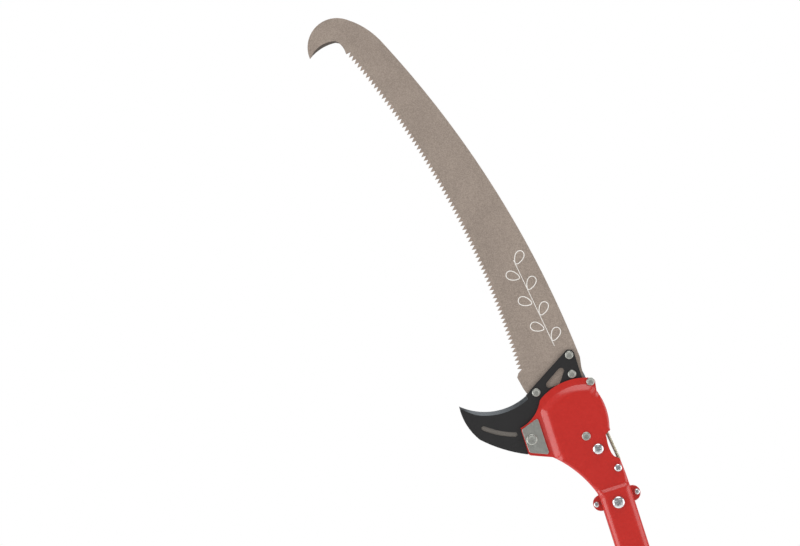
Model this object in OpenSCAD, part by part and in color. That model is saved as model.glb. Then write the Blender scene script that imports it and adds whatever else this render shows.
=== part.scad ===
// Telescoping pole saw: a swinging pruning-saw head on a pole of three nested tubes.
// Lengths are in millimetres. Z runs up the pole, X lies across the blade, and -Y is the front face.
// The origin is the centre of the hanging hole in the end cap, on the axis of the pole.

/* [Pole] */
// Length of the outer and the middle tube
section_len = 800; // [600:10:1200]
// Height by which each tube stands out of the next one when the pole is closed
stagger = 60; // [56:1:100]
// Width of the inner tube
inner_w = 28; // [24:0.5:34]
// Depth of the inner tube
inner_d = 23; // [21:0.5:29]
// Wall of each aluminium tube
tube_wall = 1.5; // [1.2:0.1:2]
// Gap between one tube and the next
tube_gap = 0.5; // [0.3:0.1:0.8]
// Corner radius of the inner tube
inner_corner = 5.5; // [3:0.5:7]
// Length of the rubber grip
grip_len = 300; // [150:10:400]
// Radius of the hanging hole
hang_r = 4; // [3:0.5:5]

/* [Saw blade] */
// Thickness of the saw blade
blade_t = 1.4; // [1:0.1:2]
// Number of teeth
tooth_count = 83; // [66:1:104]
// Distance from one tooth to the next
tooth_pitch = 4.4; // [3.6:0.1:5.3]
// Depth of a tooth
tooth_depth = 4.6; // [3:0.1:5]
// Radius of the line of the tooth points
tooth_arc_r = 874; // [800:1:1000]
// Radius of the back of the blade
spine_arc_r = 1013; // [950:1:1200]
// Radius of the outside of the tip hook
tip_hook_r = 29.3; // [27:0.1:31]

/* [Saw head] */
// Thickness of the hook plate and of the backing plate
plate_t = 2.5; // [2:0.1:3]
// Thickness of the pressed shells
shell_t = 2.2; // [1.8:0.1:2.4]
// Height of the dome above the mid-plane
dome_y = 10.6; // [10:0.1:12]
// Radius of the rim of the flange
flange_r = 58.3; // [57.5:0.1:58.8]
// Length of the socket below the neck bolt
socket_len = 75; // [60:1:120]
// Radius of the pivot pin
pivot_r = 3.5; // [3:0.1:4]
// Swing of the blade in degrees
swing = 27; // [20:1:30]

/* [Locks] */
// Height of a lock collar
collar_h = 50; // [44:1:54]
// Thickness of a collar's wall
collar_wall = 5; // [4:0.5:6]
// Length of a lock lever
lever_len = 38; // [30:1:42]

/* [Hidden] */
$fn = 64;

eps = 0.01;
slip = 0.15;          // gap of a push fit
run = 0.05;           // radial gap of a running fit
shaft_gap = 0.15;     // radial gap of a bolt in its hole

// Pole: sizes of the tubes, from the inner one outwards
step_out = 2 * (tube_wall + tube_gap);
middle_w = inner_w + step_out;
middle_d = inner_d + step_out;
outer_w = middle_w + step_out;
outer_d = middle_d + step_out;
middle_corner = inner_corner + step_out / 2;
outer_corner = middle_corner + step_out / 2;

cap_lug = 18;         // from the hanging hole up to the outer tube
cap_depth = 24;       // length of the plug in the outer tube
outer_z0 = cap_lug;
outer_z1 = outer_z0 + section_len;
middle_z0 = outer_z0 + stagger;
middle_z1 = middle_z0 + section_len;
inner_z0 = middle_z0 + stagger;
collar_lip = 8;       // the collar's mouth stands this far past its tube
glide_h = 22;         // length of a glide below its tube
socket_gap = 20;      // free stretch of the inner tube below the socket
socket_z0 = middle_z1 + collar_lip + socket_gap;
neck_z = socket_z0 + socket_len;
inner_z1 = neck_z + 11;

// Saw head, in a frame with its origin at the neck bolt. y2 is up the pole.
pivot = [-35.5, 97];
dome_rivet_at = [-10.4, 72.6];
stop_at = [10.4, 123.1];
head_bolt_at = [-2.9, 56.8];
spring_bolt_at = [10.2, 32.8];
post_at = [6, 88];
guide_rivet_at = [-63, 85.7];
blade_rivets_at = [[-1.7, 154.8], [-4.8, 135.7], [-44.5, 129.1]];
ear_r = 8;
ear_t = 2;

blade_y = blade_t / 2;            // the plates lie on both faces of the blade
plates_y = blade_y + plate_t;     // outside of the plates
side_gap = 0.6;                   // from a plate to the flange beside it
flange_y = plates_y + side_gap;   // inside of each flange
dome_in_y = dome_y - shell_t;     // inside of each dome
dome_slope = 6;                   // width of the slope round the dome
socket_w = inner_w + 2 * (slip + shell_t);
socket_d = inner_d + 2 * (slip + shell_t);
socket_corner = inner_corner + slip + shell_t;
ear_at = [socket_w / 2 + slip, 4];
ear_screw_x = ear_at[0] + 4.5;
crease_z = 14;                    // the socket ends here and the dome starts
crease_h = 4;

hub_r = 18;
bush_r = 6;
stop_r = 3;
stop_head_r = 4.2;
dome_rivet_r = 3;
guide_rivet_r = 1.7;
sleeve_r = 4.4;
head_bolt_r = 2.9;
neck_bolt_r = 3;
small_bolt_r = 1.7;
small_sleeve_r = 2.4;
ear_screw_r = 1.6;

// ---- Curves ----
function on_arc(c, r, a) = c + r * [cos(a), sin(a)];
function arc(c, r, a0, a1, n) = [for (i = [0:n]) on_arc(c, r, a0 + (a1 - a0) * i / n)];
function bearing(c, p) = atan2(p[1] - c[1], p[0] - c[0]);
// Centre of the circle through three points
function centre3(a, b, c) =
    let (d = 2 * (a[0] * (b[1] - c[1]) + b[0] * (c[1] - a[1]) + c[0] * (a[1] - b[1])))
    [(a * a * (b[1] - c[1]) + b * b * (c[1] - a[1]) + c * c * (a[1] - b[1])) / d,
     (a * a * (c[0] - b[0]) + b * b * (a[0] - c[0]) + c * c * (b[0] - a[0])) / d];
function inner_points(p) = [for (i = [1:len(p) - 2]) p[i]];
// Round stretch from a through b to c, turning the way that cross says
function arc3(a, b, c, n) =
    let (
        m = centre3(a, b, c),
        cross = (b[0] - a[0]) * (c[1] - b[1]) - (b[1] - a[1]) * (c[0] - b[0]),
        a0 = bearing(m, a),
        turn = bearing(m, c) - a0,
        sweep = cross > 0 ? (turn < 0 ? turn + 360 : turn) : (turn > 0 ? turn - 360 : turn)
    )
    arc(m, norm(a - m), a0, a0 + sweep, n);
// Curved slot with round ends, from bearing a0 to the larger bearing a1
function arc_slot(c, r, a0, a1, half) = concat(
    arc(c, r + half, a0, a1, 14),
    inner_points(arc(on_arc(c, r, a1), half, a1, a1 + 180, 8)),
    arc(c, r - half, a1, a0, 14),
    inner_points(arc(on_arc(c, r, a0), half, a0 + 180, a0 + 360, 8)));
// Where two circles meet, on the left of the line from the first centre to the second
function circles_meet(c1, r1, c2, r2) =
    let (
        d = norm(c2 - c1),
        u = (c2 - c1) / d,
        x = (d * d + r1 * r1 - r2 * r2) / (2 * d),
        h = sqrt(r1 * r1 - x * x)
    )
    c1 + x * u + h * [-u[1], u[0]];
// ---- Solids from outlines ----
// Raises an outline of the head's frame from y0 towards the front by t
module slab(y0, t) {
    translate([0, y0, neck_z]) rotate([90, 0, 0]) linear_extrude(t) children();
}
// A bar along Y at a point of the head's frame, from y0 to y1
module bar(at, r, y0, y1) {
    translate([at[0], y1, neck_z + at[1]]) rotate([90, 0, 0]) cylinder(r = r, h = y1 - y0);
}
// Round body along -Y from the mid-plane: straight to y0, then its radius changes by grow up to y1
module round_body(at, r, y0, y1, grow) {
    translate([at[0], 0, neck_z + at[1]]) rotate([90, 0, 0]) {
        translate([0, 0, -1]) cylinder(r = r, h = 1 + y0, $fn = 180);
        translate([0, 0, y0 - eps]) cylinder(r1 = r, r2 = r + grow, h = y1 - y0 + eps, $fn = 180);
    }
}
module rounded_rect(w, d, r) {
    square([w - 2 * r, d], center = true);
    square([w, d - 2 * r], center = true);
    for (x = [-1, 1], y = [-1, 1]) translate([x * (w / 2 - r), y * (d / 2 - r)]) circle(r);
}
// The same rounded rectangle, larger by grow all round
module grown_rect(w, d, r, grow) {
    rounded_rect(w + 2 * grow, d + 2 * grow, r + grow);
}
module tube(w, d, r, wall, z0, z1) {
    translate([0, 0, z0]) difference() {
        linear_extrude(z1 - z0) rounded_rect(w, d, r);
        translate([0, 0, -1]) linear_extrude(z1 - z0 + 2)
            grown_rect(w, d, r, -wall);
    }
}
// Low domed head of a bolt or rivet, standing on the plane y towards the front
module pan_head(at, y, r, h) {
    translate([at[0], y, neck_z + at[1]]) rotate([90, 0, 0]) rotate_extrude()
        intersection() {
            translate([0, h - crown_r(r, h)]) circle(crown_r(r, h), $fn = 128);
            square([r, h]);
        }
}
// Radius of the crown that leaves a rim of a third of the height
function crown_r(r, h) = (r * r + pow(h * 2 / 3, 2)) / (2 * h * 2 / 3);
module cross_recess(at, y, r) {
    for (a = [45, 135]) translate([at[0], y, neck_z + at[1]]) rotate([0, a, 0])
        cube([2 * r, 2.4, 0.32 * r], center = true);
}
// Screw from the front face yf to past the back face yb
module screw(at, yf, yb, r, head_r, head_h, tail) {
    difference() {
        union() {
            pan_head(at, yf, head_r, head_h);
            bar(at, r, yf - eps, yb + tail);
        }
        cross_recess(at, yf - head_h, 0.5 * head_r);
    }
}
module nut(at, y, r, across, t) {
    difference() {
        translate([at[0], y + t, neck_z + at[1]]) rotate([90, 0, 0])
            cylinder(r = across / 2 / cos(30), h = t, $fn = 6);
        bar(at, r, y - 1, y + t + 1);
    }
}

// ---- Outline of the saw blade ----
heel = [-55.6, 152.7];           // point of the last tooth
tooth_a0 = -1.4;                 // bearing of that point from the centre of the arc
tooth_c = heel - tooth_arc_r * [cos(tooth_a0), sin(tooth_a0)];
tooth_step = tooth_pitch / tooth_arc_r * 180 / PI;
tooth_a1 = tooth_a0 + tooth_count * tooth_step;
first_tooth = on_arc(tooth_c, tooth_arc_r, tooth_a1);
rake = 0.3;                      // share of the pitch from a tooth point to the next root
// A place near the tip, measured across and along the blade from the first tooth
function at_tip(across, along) = first_tooth
    + across * [cos(tooth_a1), sin(tooth_a1)] + along * [-sin(tooth_a1), cos(tooth_a1)];
tip_hook_c = at_tip(-2.5, 11.3);
tip_point = on_arc(tip_hook_c, tip_hook_r, tooth_a1 + 163.4);
throat_mid = at_tip(-18.9, 20.6);
throat_top = at_tip(1.4, 14.4);
spine_corner = [8.1, 149.6];
spine_a0 = 3.8;                  // bearing of the corner from the centre of the back's arc
spine_c = spine_corner - spine_arc_r * [cos(spine_a0), sin(spine_a0)];
shoulder_r = 78;                 // between the back of the blade and the tip hook
shoulder_c = circles_meet(tip_hook_c, shoulder_r - tip_hook_r, spine_c, spine_arc_r - shoulder_r);
spine_a1 = bearing(spine_c, shoulder_c);
shoulder_a1 = bearing(shoulder_c, tip_hook_c);
blade_outline = concat(
    arc(spine_c, spine_arc_r, spine_a0, spine_a1, 40),
    arc(shoulder_c, shoulder_r, spine_a1 + 2, shoulder_a1 - 2, 6),
    arc(tip_hook_c, tip_hook_r, shoulder_a1, tooth_a1 + 163.4, 24),
    inner_points(arc3(tip_point, throat_mid, throat_top, 14)),
    inner_points(arc3(throat_top, at_tip(2.1, 7.2), first_tooth, 8)),
    [for (i = [0:tooth_count - 1], k = [0, 1]) let (a = tooth_a1 - i * tooth_step)
        on_arc(tooth_c, tooth_arc_r + k * tooth_depth, a - k * rake * tooth_step)],
    [heel, heel + [-2.4, -3.7]],
    arc3([-55.4, 136], [-51.5, 127], [-45.5, 120], 5),
    [[4.6, 117.5], [6.4, 139.8]]);

// ---- Outlines of the two plates ----
claw_tip = [-122.2, 139.3];
claw_back = [-121.6, 123.5];
claw_turn = [-112.5, 101.2];
claw_belly = [-91, 83.6];
claw_end = [-71.9, 72.9];
cut_low = [-81, 123.4];
cut_end = [-56, 128.6];
apex_r = 5.4;
post_lobe_r = 4.2;
// Under the hub and out to the spring's post
hub_edge = concat(
    arc(pivot, hub_r, 238, 312, 8),
    arc(post_at, post_lobe_r, -110, 0, 6));
rest_x = stop_at[0] - stop_r - slip;
hook_outline = concat(
    arc3(claw_tip, claw_back, claw_turn, 8),
    inner_points(arc3(claw_turn, claw_belly, claw_end, 8)),
    [claw_end, [-63, 72]],
    hub_edge,
    [[6, 103], [5.6, 117], [3.6, 124]],
    arc(blade_rivets_at[0], apex_r, -8, 121, 10),
    [[-49.5, 133.1], [-52.6, 130.4], [-54, 130.4]],
    arc3(cut_end, cut_low, claw_tip, 20));
backing_outline = concat(
    arc3([-72.6, 88], [-70.6, 79], [-63, 73], 6),
    hub_edge,
    [[rest_x, 103], [rest_x, 130], [5, 142]],
    arc(blade_rivets_at[0], apex_r, -8, 121, 10),
    [[-49.5, 133.1]],
    arc3([-53.5, 127], [-65.5, 111], [-72, 93], 6));
window_outline = concat(
    arc([-21.5, 133], 3.2, -95, -35, 4),
    arc([-14.4, 142], 3.2, -25, 120, 8),
    arc([-29.6, 132.6], 3.3, 120, 262, 8));
groove_ends = [[-105.6, 111], [-91, 101.2], [-77.4, 95.4]];
groove_c = centre3(groove_ends[0], groove_ends[1], groove_ends[2]);
groove_r = norm(groove_ends[0] - groove_c);
groove_half = 2.5;
groove_deep = 1;
guide_slot_r = norm(guide_rivet_at - pivot);
guide_slot_a = bearing(pivot, guide_rivet_at);

// ---- Shells ----
dome_r = 51.8;
bulge_c = [-45.7, 91.6];         // centre of the dome's right edge
bulge_r = 62.8;
lower_c = [-126.6, -22.7];       // centre of the shells' lower left edge
lower_r = 115.6;
concave_c = [-76.8, 136.2];      // centre of the flange's hollow edge
concave_r = 36.8;
dome_left = -46.6;
// Right side of the neck with the notch for the spring
notch = [[socket_w / 2, 22], [15.4, 36], [14.8, 41], [11.6, 43.4], [9.4, 46.6], [8.1, 51], [7.8, 57],
         [8.1, 63], [8.9, 67], [10.6, 70], [14.4, 73.4]];
module flange() {
    difference() {
        union() {
            intersection() {
                translate(dome_rivet_at) circle(flange_r, $fn = 180);
                polygon([[-48, 64], [0, 60], [14.4, 90], [14.4, 122], stop_at, [stop_at[0], 140],
                    [-48, 140]]);
            }
            polygon([[-70.2, 104], [-70.4, 74.6], [-68.2, 70], [-47.4, 62.7], [-46, 64], [-46, 117]]);
        }
        translate(concave_c) circle(concave_r, $fn = 120);
    }
    translate(stop_at) circle(4.6);
}
module neck_side() {
    polygon(concat([[-60, crease_z + 2], [socket_w / 2, crease_z + 2]], notch,
        [[14.4, round_z], [-60, round_z]]));
}
round_z = 74;                    // above this the dome's edge is round
dome_steep = 2.5;                // slope of the dome's right edge
// Dome without its hollow, or the hollow itself when wall is the thickness of the sheet
module dome_solid(wall, y0, y1) {
    difference() {
        intersection() {
            union() {
                slab(1, y1 + 1) offset(delta = -wall) neck_side();
                intersection() {
                    translate([-60, -y1, neck_z + round_z - wall - eps]) cube([100, y1 + 1, 60]);
                    round_body(dome_rivet_at, dome_r - wall, y0, y1, -dome_slope);
                    round_body(bulge_c, bulge_r - wall, y0, y1, -dome_steep);
                }
            }
            translate([0, 0, neck_z]) linear_extrude(140) polygon([
                [dome_left + wall, 1], [dome_left + wall, -y0], [dome_left + wall + dome_slope, -y1],
                [60, -y1], [60, 1]]);
        }
        round_body(lower_c, lower_r + wall, y0, y1 + eps, dome_slope / 2);
    }
}
// Room between the two flanges for the plates, and the open notch
module open_side() {
    polygon([[-80, 50], [-36, 50], [-14, 62], [-8, 50], [30, 50], [30, 76], [8, 76], [8, 108], [40, 112],
             [40, 150], [-80, 150]]);
}
// The wall is cut away beside the spring
module spring_side() {
    polygon([[4, 34], [30, 34], [30, 76], [4, 76]]);
}
// Front half of the head: flange, dome, neck and socket, pressed from one sheet
module shell() {
    difference() {
        union() {
            slab(-flange_y, shell_t) flange();
            dome_solid(0, flange_y + shell_t, dome_y);
            socket_half();
            for (s = [-1, 1]) bar([s * ear_at[0], ear_at[1]], ear_r, -ear_t, 0);
        }
        dome_solid(shell_t, flange_y, dome_in_y);
        slab(1, flange_y + 1) open_side();
        slab(1, dome_in_y + 1) spring_side();
        bar(stop_at, stop_head_r + shaft_gap, -dome_y, -flange_y - shell_t);
        socket_bore();
        translate([-200, 0, neck_z - 200]) cube([400, 50, 400]);
        shell_hole(stop_at, stop_r);
        shell_hole(dome_rivet_at, dome_rivet_r);
        shell_hole(head_bolt_at, head_bolt_r);
        shell_hole(spring_bolt_at, small_bolt_r);
        shell_hole([0, 0], neck_bolt_r);
        for (s = [-1, 1]) shell_hole([s * ear_screw_x, ear_at[1]], ear_screw_r);
        shell_hole(guide_rivet_at, guide_rivet_r);
    }
}
module shell_hole(at, r) {
    bar(at, r + shaft_gap, -30, 1);
}
module socket_half() {
    translate([0, 0, socket_z0]) linear_extrude(neck_z + crease_z - socket_z0)
        rounded_rect(socket_w, socket_d, socket_corner);
    crease(socket_w, socket_d, socket_corner, 2 * dome_y);
}
module socket_bore() {
    translate([0, 0, socket_z0 - 1]) linear_extrude(neck_z + crease_z - socket_z0 + 1)
        grown_rect(inner_w, inner_d, inner_corner, slip);
    crease(socket_w - 2 * shell_t, inner_d + 2 * slip, socket_corner - shell_t, 2 * dome_in_y);
}
// Sloping step between the socket and the lower face of the dome
module crease(w, d0, r, d1) {
    intersection() {
        translate([0, 0, neck_z + crease_z]) rotate([90, 0, 90]) linear_extrude(w + 2, center = true)
            polygon([[-d0 / 2 - 1, -0.8], [1, -0.8], [1, crease_h], [-d1 / 2, crease_h]]);
        translate([0, 0, neck_z + crease_z - eps]) linear_extrude(crease_h + 2) rounded_rect(w, d0, r);
    }
}
module front_shell() { color("#cc3326") shell(); }
module rear_shell() { color("#cc3326") mirror([0, 1, 0]) shell(); }

// ---- Fasteners of the head ----
// The ends are chamfered to clear the slope of the dome
pin_chamfer = 1.5;
module pivot_pin() {
    color("silver") translate([pivot[0], 0, neck_z + pivot[1]]) rotate([90, 0, 0]) for (s = [0, 1])
        mirror([0, 0, s]) {
            translate([0, 0, -eps]) cylinder(r = pivot_r, h = dome_in_y - pin_chamfer + eps);
            translate([0, 0, dome_in_y - pin_chamfer])
                cylinder(r1 = pivot_r, r2 = pivot_r - pin_chamfer, h = pin_chamfer);
        }
}
module pivot_spacers() {
    color("silver") for (s = [0, 1]) mirror([0, s, 0]) difference() {
        bar(pivot, pivot_r + 1.4, -dome_in_y + 2, -plates_y - 0.3);
        bar(pivot, pivot_r, -dome_in_y - 1, 0);
    }
}
module dome_rivet() {
    color("silver") difference() {
        union() {
            for (s = [0, 1]) mirror([0, s, 0]) pan_head(dome_rivet_at, -dome_y, 4.4, 1.5);
            bar(dome_rivet_at, dome_rivet_r, -dome_y - eps, dome_y + eps);
        }
        bar(dome_rivet_at, 1, -dome_y - 3, -dome_y - 0.9);
    }
}
module sleeve(at, bore_r, outer_r) {
    color("silver") difference() {
        bar(at, outer_r, -dome_in_y, dome_in_y);
        bar(at, bore_r + shaft_gap, -20, 20);
    }
}
module dome_rivet_sleeve() { sleeve(dome_rivet_at, dome_rivet_r, sleeve_r); }
module stop_rivet() {
    color("silver") {
        for (s = [0, 1]) mirror([0, s, 0]) pan_head(stop_at, -flange_y - shell_t, stop_head_r, 1.8);
        bar(stop_at, stop_r, -flange_y - shell_t - eps, flange_y + shell_t + eps);
    }
}
module head_bolt() {
    color("gainsboro") screw(head_bolt_at, -dome_y, dome_y, head_bolt_r, 5.5, 3.6, 6);
}
module head_bolt_sleeve() { sleeve(head_bolt_at, head_bolt_r, sleeve_r); }
module head_nut() { color("silver") nut(head_bolt_at, dome_y, head_bolt_r, 9.6, 4.6); }
module spring_bolt() {
    color("gainsboro") screw(spring_bolt_at, -dome_y, dome_y, small_bolt_r, 3.9, 2.8, 4.4);
}
module spring_sleeve() { sleeve(spring_bolt_at, small_bolt_r, small_sleeve_r); }
module spring_nut() { color("silver") nut(spring_bolt_at, dome_y, small_bolt_r, 7, 3.2); }
module neck_bolt() {
    color("gainsboro") screw([0, 0], -socket_d / 2, socket_d / 2, neck_bolt_r, 6.2, 4, 6.2);
}
module neck_nut() { color("silver") nut([0, 0], socket_d / 2, neck_bolt_r, 10, 5); }
module ear_screws() {
    color("gainsboro") for (s = [-1, 1])
        screw([s * ear_screw_x, ear_at[1]], -ear_t, ear_t, ear_screw_r, 3, 2.2, 3.2);
}
module ear_nuts() {
    color("silver") for (s = [-1, 1]) nut([s * ear_screw_x, ear_at[1]], ear_t, ear_screw_r, 5.4, 2.4);
}
guide_t = 1.2;
module guide_outline() {
    polygon([[-69.3, 75], [-68, 73.4], [-52.6, 67], [-50.7, 68.6], [-51, 103], [-52.4, 104], [-69, 98.4],
             [-69.7, 97.2]]);
}
module guide_plate() {
    difference() {
        slab(-flange_y - shell_t, guide_t) guide_outline();
        bar(guide_rivet_at, guide_rivet_r + shaft_gap, -30, 0);
    }
}
module front_guide_plate() { color("darkgray") guide_plate(); }
module rear_guide_plate() { color("darkgray") mirror([0, 1, 0]) guide_plate(); }
// Passes through the slot in both plates, whose end stops the swing
module guide_rivet() {
    head_y = flange_y + shell_t + guide_t;
    color("gainsboro") {
        for (s = [0, 1]) mirror([0, s, 0]) {
            pan_head(guide_rivet_at, -head_y, 5.6, 1.6);
            bar(guide_rivet_at, sleeve_r - 1.2, -flange_y, -plates_y - 0.2);
        }
        bar(guide_rivet_at, guide_rivet_r, -head_y - eps, head_y + eps);
    }
}

// ---- Return spring ----
spring_y = -(plates_y + dome_in_y) / 2;
spring_wire = 0.6;
spring_od = 3.6;
lower_loop_r = small_sleeve_r + spring_wire / 2;
post_r = 2;
post_rivet_r = 1.5;
upper_loop_r = post_r + spring_wire / 2;
spring_foot = spring_bolt_at + [3, 7.2];
spring_head = post_at + [upper_loop_r, -4];
module ring(at, r) {
    translate([at[0], spring_y, neck_z + at[1]]) rotate([90, 0, 0]) rotate_extrude()
        translate([r, 0]) circle(spring_wire / 2, $fn = 16);
}
module rod(p, q, r) {
    v = q - p;
    translate([p[0], spring_y, neck_z + p[1]]) rotate([0, atan2(v[0], v[1]), 0])
        cylinder(r = r, h = norm(v), $fn = 24);
}
// The coils stand as a plain rod of their outer size between two end loops
module return_spring() {
    color("dimgray") {
        rod(spring_foot, spring_head, spring_od / 2);
        rod(spring_bolt_at + [lower_loop_r, 0], spring_foot, spring_wire * 0.6);
        rod(spring_head, post_at + [upper_loop_r, 0], spring_wire * 0.6);
        ring(spring_bolt_at, lower_loop_r);
        ring(post_at, upper_loop_r);
    }
}

// ---- Swinging carrier ----
module rivet_holes(r) {
    for (p = blade_rivets_at) bar(p, r, -20, 20);
}
blade_rivet_r = 2.5;
module saw_blade() {
    color("#9a8f84") difference() {
        slab(blade_y, blade_t) polygon(blade_outline);
        rivet_holes(blade_rivet_r + shaft_gap);
    }
}
module carrier_holes() {
    rivet_holes(blade_rivet_r + shaft_gap);
    bar(pivot, bush_r, -20, 20);
    bar(post_at, post_rivet_r, -20, 20);
    guide_slot();
}
// Slot that the guide rivet runs in, from the rest position to the end of the swing
module guide_slot() {
    slab(20, 40) polygon(arc_slot(pivot, guide_slot_r, guide_slot_a - swing - 0.5, guide_slot_a,
        guide_rivet_r + 0.25));
}
module hook_plate() {
    color("#2b2b2e") difference() {
        slab(-blade_y, plate_t) polygon(hook_outline);
        slab(20, 40) polygon(window_outline);
        slab(-plates_y + groove_deep, 10) polygon(arc_slot(groove_c, groove_r,
            bearing(groove_c, groove_ends[0]), bearing(groove_c, groove_ends[2]), groove_half));
        carrier_holes();
    }
}
module backing_plate() {
    color("lightsteelblue") difference() {
        slab(plates_y, plate_t) polygon(backing_outline);
        carrier_holes();
    }
}
module hub_spacer() {
    color("silver") difference() {
        bar(pivot, bush_r + 5, -blade_y, blade_y);
        bar(pivot, bush_r, -20, 20);
    }
}
module blade_rivets() {
    color("silver") for (p = blade_rivets_at) {
        for (s = [0, 1]) mirror([0, s, 0]) pan_head(p, -plates_y, 4.2, 1.5);
        bar(p, blade_rivet_r, -plates_y - eps, plates_y + eps);
    }
}
module pivot_bush() {
    color("goldenrod") difference() {
        bar(pivot, bush_r, -plates_y - 0.1, plates_y + 0.1);
        bar(pivot, pivot_r + run, -20, 20);
    }
}
module spring_post() {
    color("silver") {
        bar(post_at, post_rivet_r, -plates_y, plates_y);
        bar(post_at, post_r, spring_y - spring_wire / 2 - 0.1, -plates_y);
        bar(post_at, post_r + 1, -dome_in_y + 0.4, spring_y - spring_wire / 2 - 0.1);
    }
}

// ---- Pole ----
module outer_tube() { color("silver") difference() {
    tube(outer_w, outer_d, outer_corner, tube_wall, outer_z0, outer_z1);
    cap_pin_hole();
} }
module middle_tube() {
    color("silver") tube(middle_w, middle_d, middle_corner, tube_wall, middle_z0, middle_z1);
}
module inner_tube() {
    color("silver") difference() {
        tube(inner_w, inner_d, inner_corner, tube_wall, inner_z0, inner_z1);
        bar([0, 0], neck_bolt_r + shaft_gap, -30, 30);
    }
}
cap_pin_z = cap_lug + 12;
cap_pin_r = 2;
module cap_pin_hole() {
    translate([0, outer_d / 2 + 1, cap_pin_z]) rotate([90, 0, 0]) cylinder(r = cap_pin_r, h = outer_d + 2);
}
lug_w = 24;
lug_t = 12;
cap_brim = 5;         // thickness of the brim under the outer tube
module end_cap() {
    color("#26262a") difference() {
        union() {
            translate([0, 0, cap_lug]) linear_extrude(cap_depth)
                grown_rect(outer_w, outer_d, outer_corner, -tube_wall - slip);
            translate([0, 0, cap_lug - cap_brim]) linear_extrude(cap_brim)
                rounded_rect(outer_w + 1, outer_d + 1, outer_corner);
            translate([-lug_w / 2, -lug_t / 2, 0]) cube([lug_w, lug_t, cap_lug - cap_brim + 1]);
            translate([0, lug_t / 2, 0]) rotate([90, 0, 0]) cylinder(r = lug_w / 2, h = lug_t);
        }
        translate([0, lug_t, 0]) rotate([90, 0, 0]) cylinder(r = hang_r, h = 2 * lug_t);
        cap_pin_hole();
    }
}
module end_cap_pin() {
    color("silver") translate([0, outer_d / 2, cap_pin_z]) rotate([90, 0, 0])
        cylinder(r = cap_pin_r, h = outer_d);
}
// Rubber sleeve with a rib at each end and finger grooves between
grip_wall = 3;
grip_z0 = outer_z0 + 2;
rib_h = 8;
rib_proud = 2;
groove_pitch = 12;
groove_h = 3;
groove_depth = 1;
module grip() {
    color("#2a2a2c") difference() {
        union() {
            translate([0, 0, grip_z0]) linear_extrude(grip_len)
                grown_rect(outer_w, outer_d, outer_corner, grip_wall);
            for (z = [grip_z0, grip_z0 + grip_len - rib_h]) translate([0, 0, z]) linear_extrude(rib_h)
                grown_rect(outer_w, outer_d, outer_corner, grip_wall + rib_proud);
        }
        translate([0, 0, grip_z0 - 1]) linear_extrude(grip_len + 2)
            rounded_rect(outer_w, outer_d, outer_corner);
        for (i = [1:floor((grip_len - 2 * rib_h) / groove_pitch) - 1])
            translate([0, 0, grip_z0 + rib_h + i * groove_pitch]) groove_cut();
    }
}
module groove_cut() {
    linear_extrude(groove_h) difference() {
        square(3 * outer_w, center = true);
        grown_rect(outer_w, outer_d, outer_corner, grip_wall - groove_depth);
    }
}
// A glide closes the foot of a tube and runs in the next tube out
glide_proud = tube_gap - 0.3;
glide_plug = 16;      // length of the plug in the foot of the tube
module glide(w, d, r, z) {
    difference() {
        union() {
            translate([0, 0, z - glide_h]) linear_extrude(glide_h)
                grown_rect(w, d, r, glide_proud);
            translate([0, 0, z - eps]) linear_extrude(glide_plug) grown_rect(w, d, r, -tube_wall - slip);
        }
        translate([0, 0, z - glide_h - 1])
            cylinder(r = min(w, d) / 2 - tube_wall - 4, h = glide_h + glide_plug + 2);
    }
}
module middle_glide() { color("white") glide(middle_w, middle_d, middle_corner, middle_z0); }
module inner_glide() { color("white") glide(inner_w, inner_d, inner_corner, inner_z0); }

// ---- Lock collars and levers ----
ear_h = 10;           // height of each hinge ear
lever_t = 5;
lever_pin_r = 2;
knuckle_r = 5;
face_gap = 0.6;
collar_screws_z = [10, collar_h - 10];
collar_screw_r = 2;
screw_head_h = 1.6;
module collar(w, d, r, z) {
    half_w = w / 2 + collar_wall;
    foot = z + collar_lip - collar_h;
    pin = lever_pin_at(w, d);
    difference() {
        union() {
            translate([0, 0, foot]) linear_extrude(collar_h) grown_rect(w, d, r, collar_wall);
            for (y = [foot, foot + collar_h - ear_h]) translate([0, 0, y]) {
                translate([pin[0], pin[1], 0]) cylinder(r = knuckle_r, h = ear_h);
                translate([half_w - 8, pin[1] - knuckle_r, 0])
                    cube([pin[0] - half_w + 8, 2 * knuckle_r, ear_h]);
            }
        }
        translate([0, 0, foot - 1]) linear_extrude(collar_h - collar_lip + 1)
            grown_rect(w, d, r, slip);
        translate([0, 0, foot]) linear_extrude(collar_h + 1) grown_rect(w, d, r, -tube_wall);
        translate([pin[0], pin[1], foot - 1]) cylinder(r = lever_pin_r, h = collar_h + 2);
        translate([half_w - collar_wall - 1, pad_y - slip, foot + collar_h / 2 - pad_h / 2])
            cube([collar_wall + 2, pad_w + 2 * slip, pad_h]);
        for (dz = collar_screws_z) translate([-half_w - 1, 0, foot + dz]) rotate([0, 90, 0])
            cylinder(r = collar_screw_r + slip, h = collar_wall + 1.5);
    }
}
pad_y = -6;
pad_w = 12;
pad_h = 16;
function lever_pin_at(w, d) = [w / 2 + collar_wall + face_gap + lever_t / 2, -d / 2 - 1];
module collar_screws(w, z) {
    foot = z + collar_lip - collar_h;
    for (dz = collar_screws_z)
        translate([-w / 2 - collar_wall - screw_head_h, 0, foot + dz]) rotate([0, 90, 0]) {
            cylinder(r = collar_screw_r + screw_head_h, h = screw_head_h);
            cylinder(r = collar_screw_r, h = collar_wall + 1.2);
        }
}
module lever_pin(w, d, z) {
    pin = lever_pin_at(w, d);
    translate([pin[0], pin[1], z + collar_lip - collar_h - 0.5])
        cylinder(r = lever_pin_r, h = collar_h + 1);
}
module clamp_pad(w, z) {
    foot = z + collar_lip - collar_h;
    translate([w / 2 + slip + eps, pad_y, foot + collar_h / 2 - pad_h / 2])
        cube([collar_wall - slip - 2 * eps, pad_w, pad_h]);
}
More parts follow.
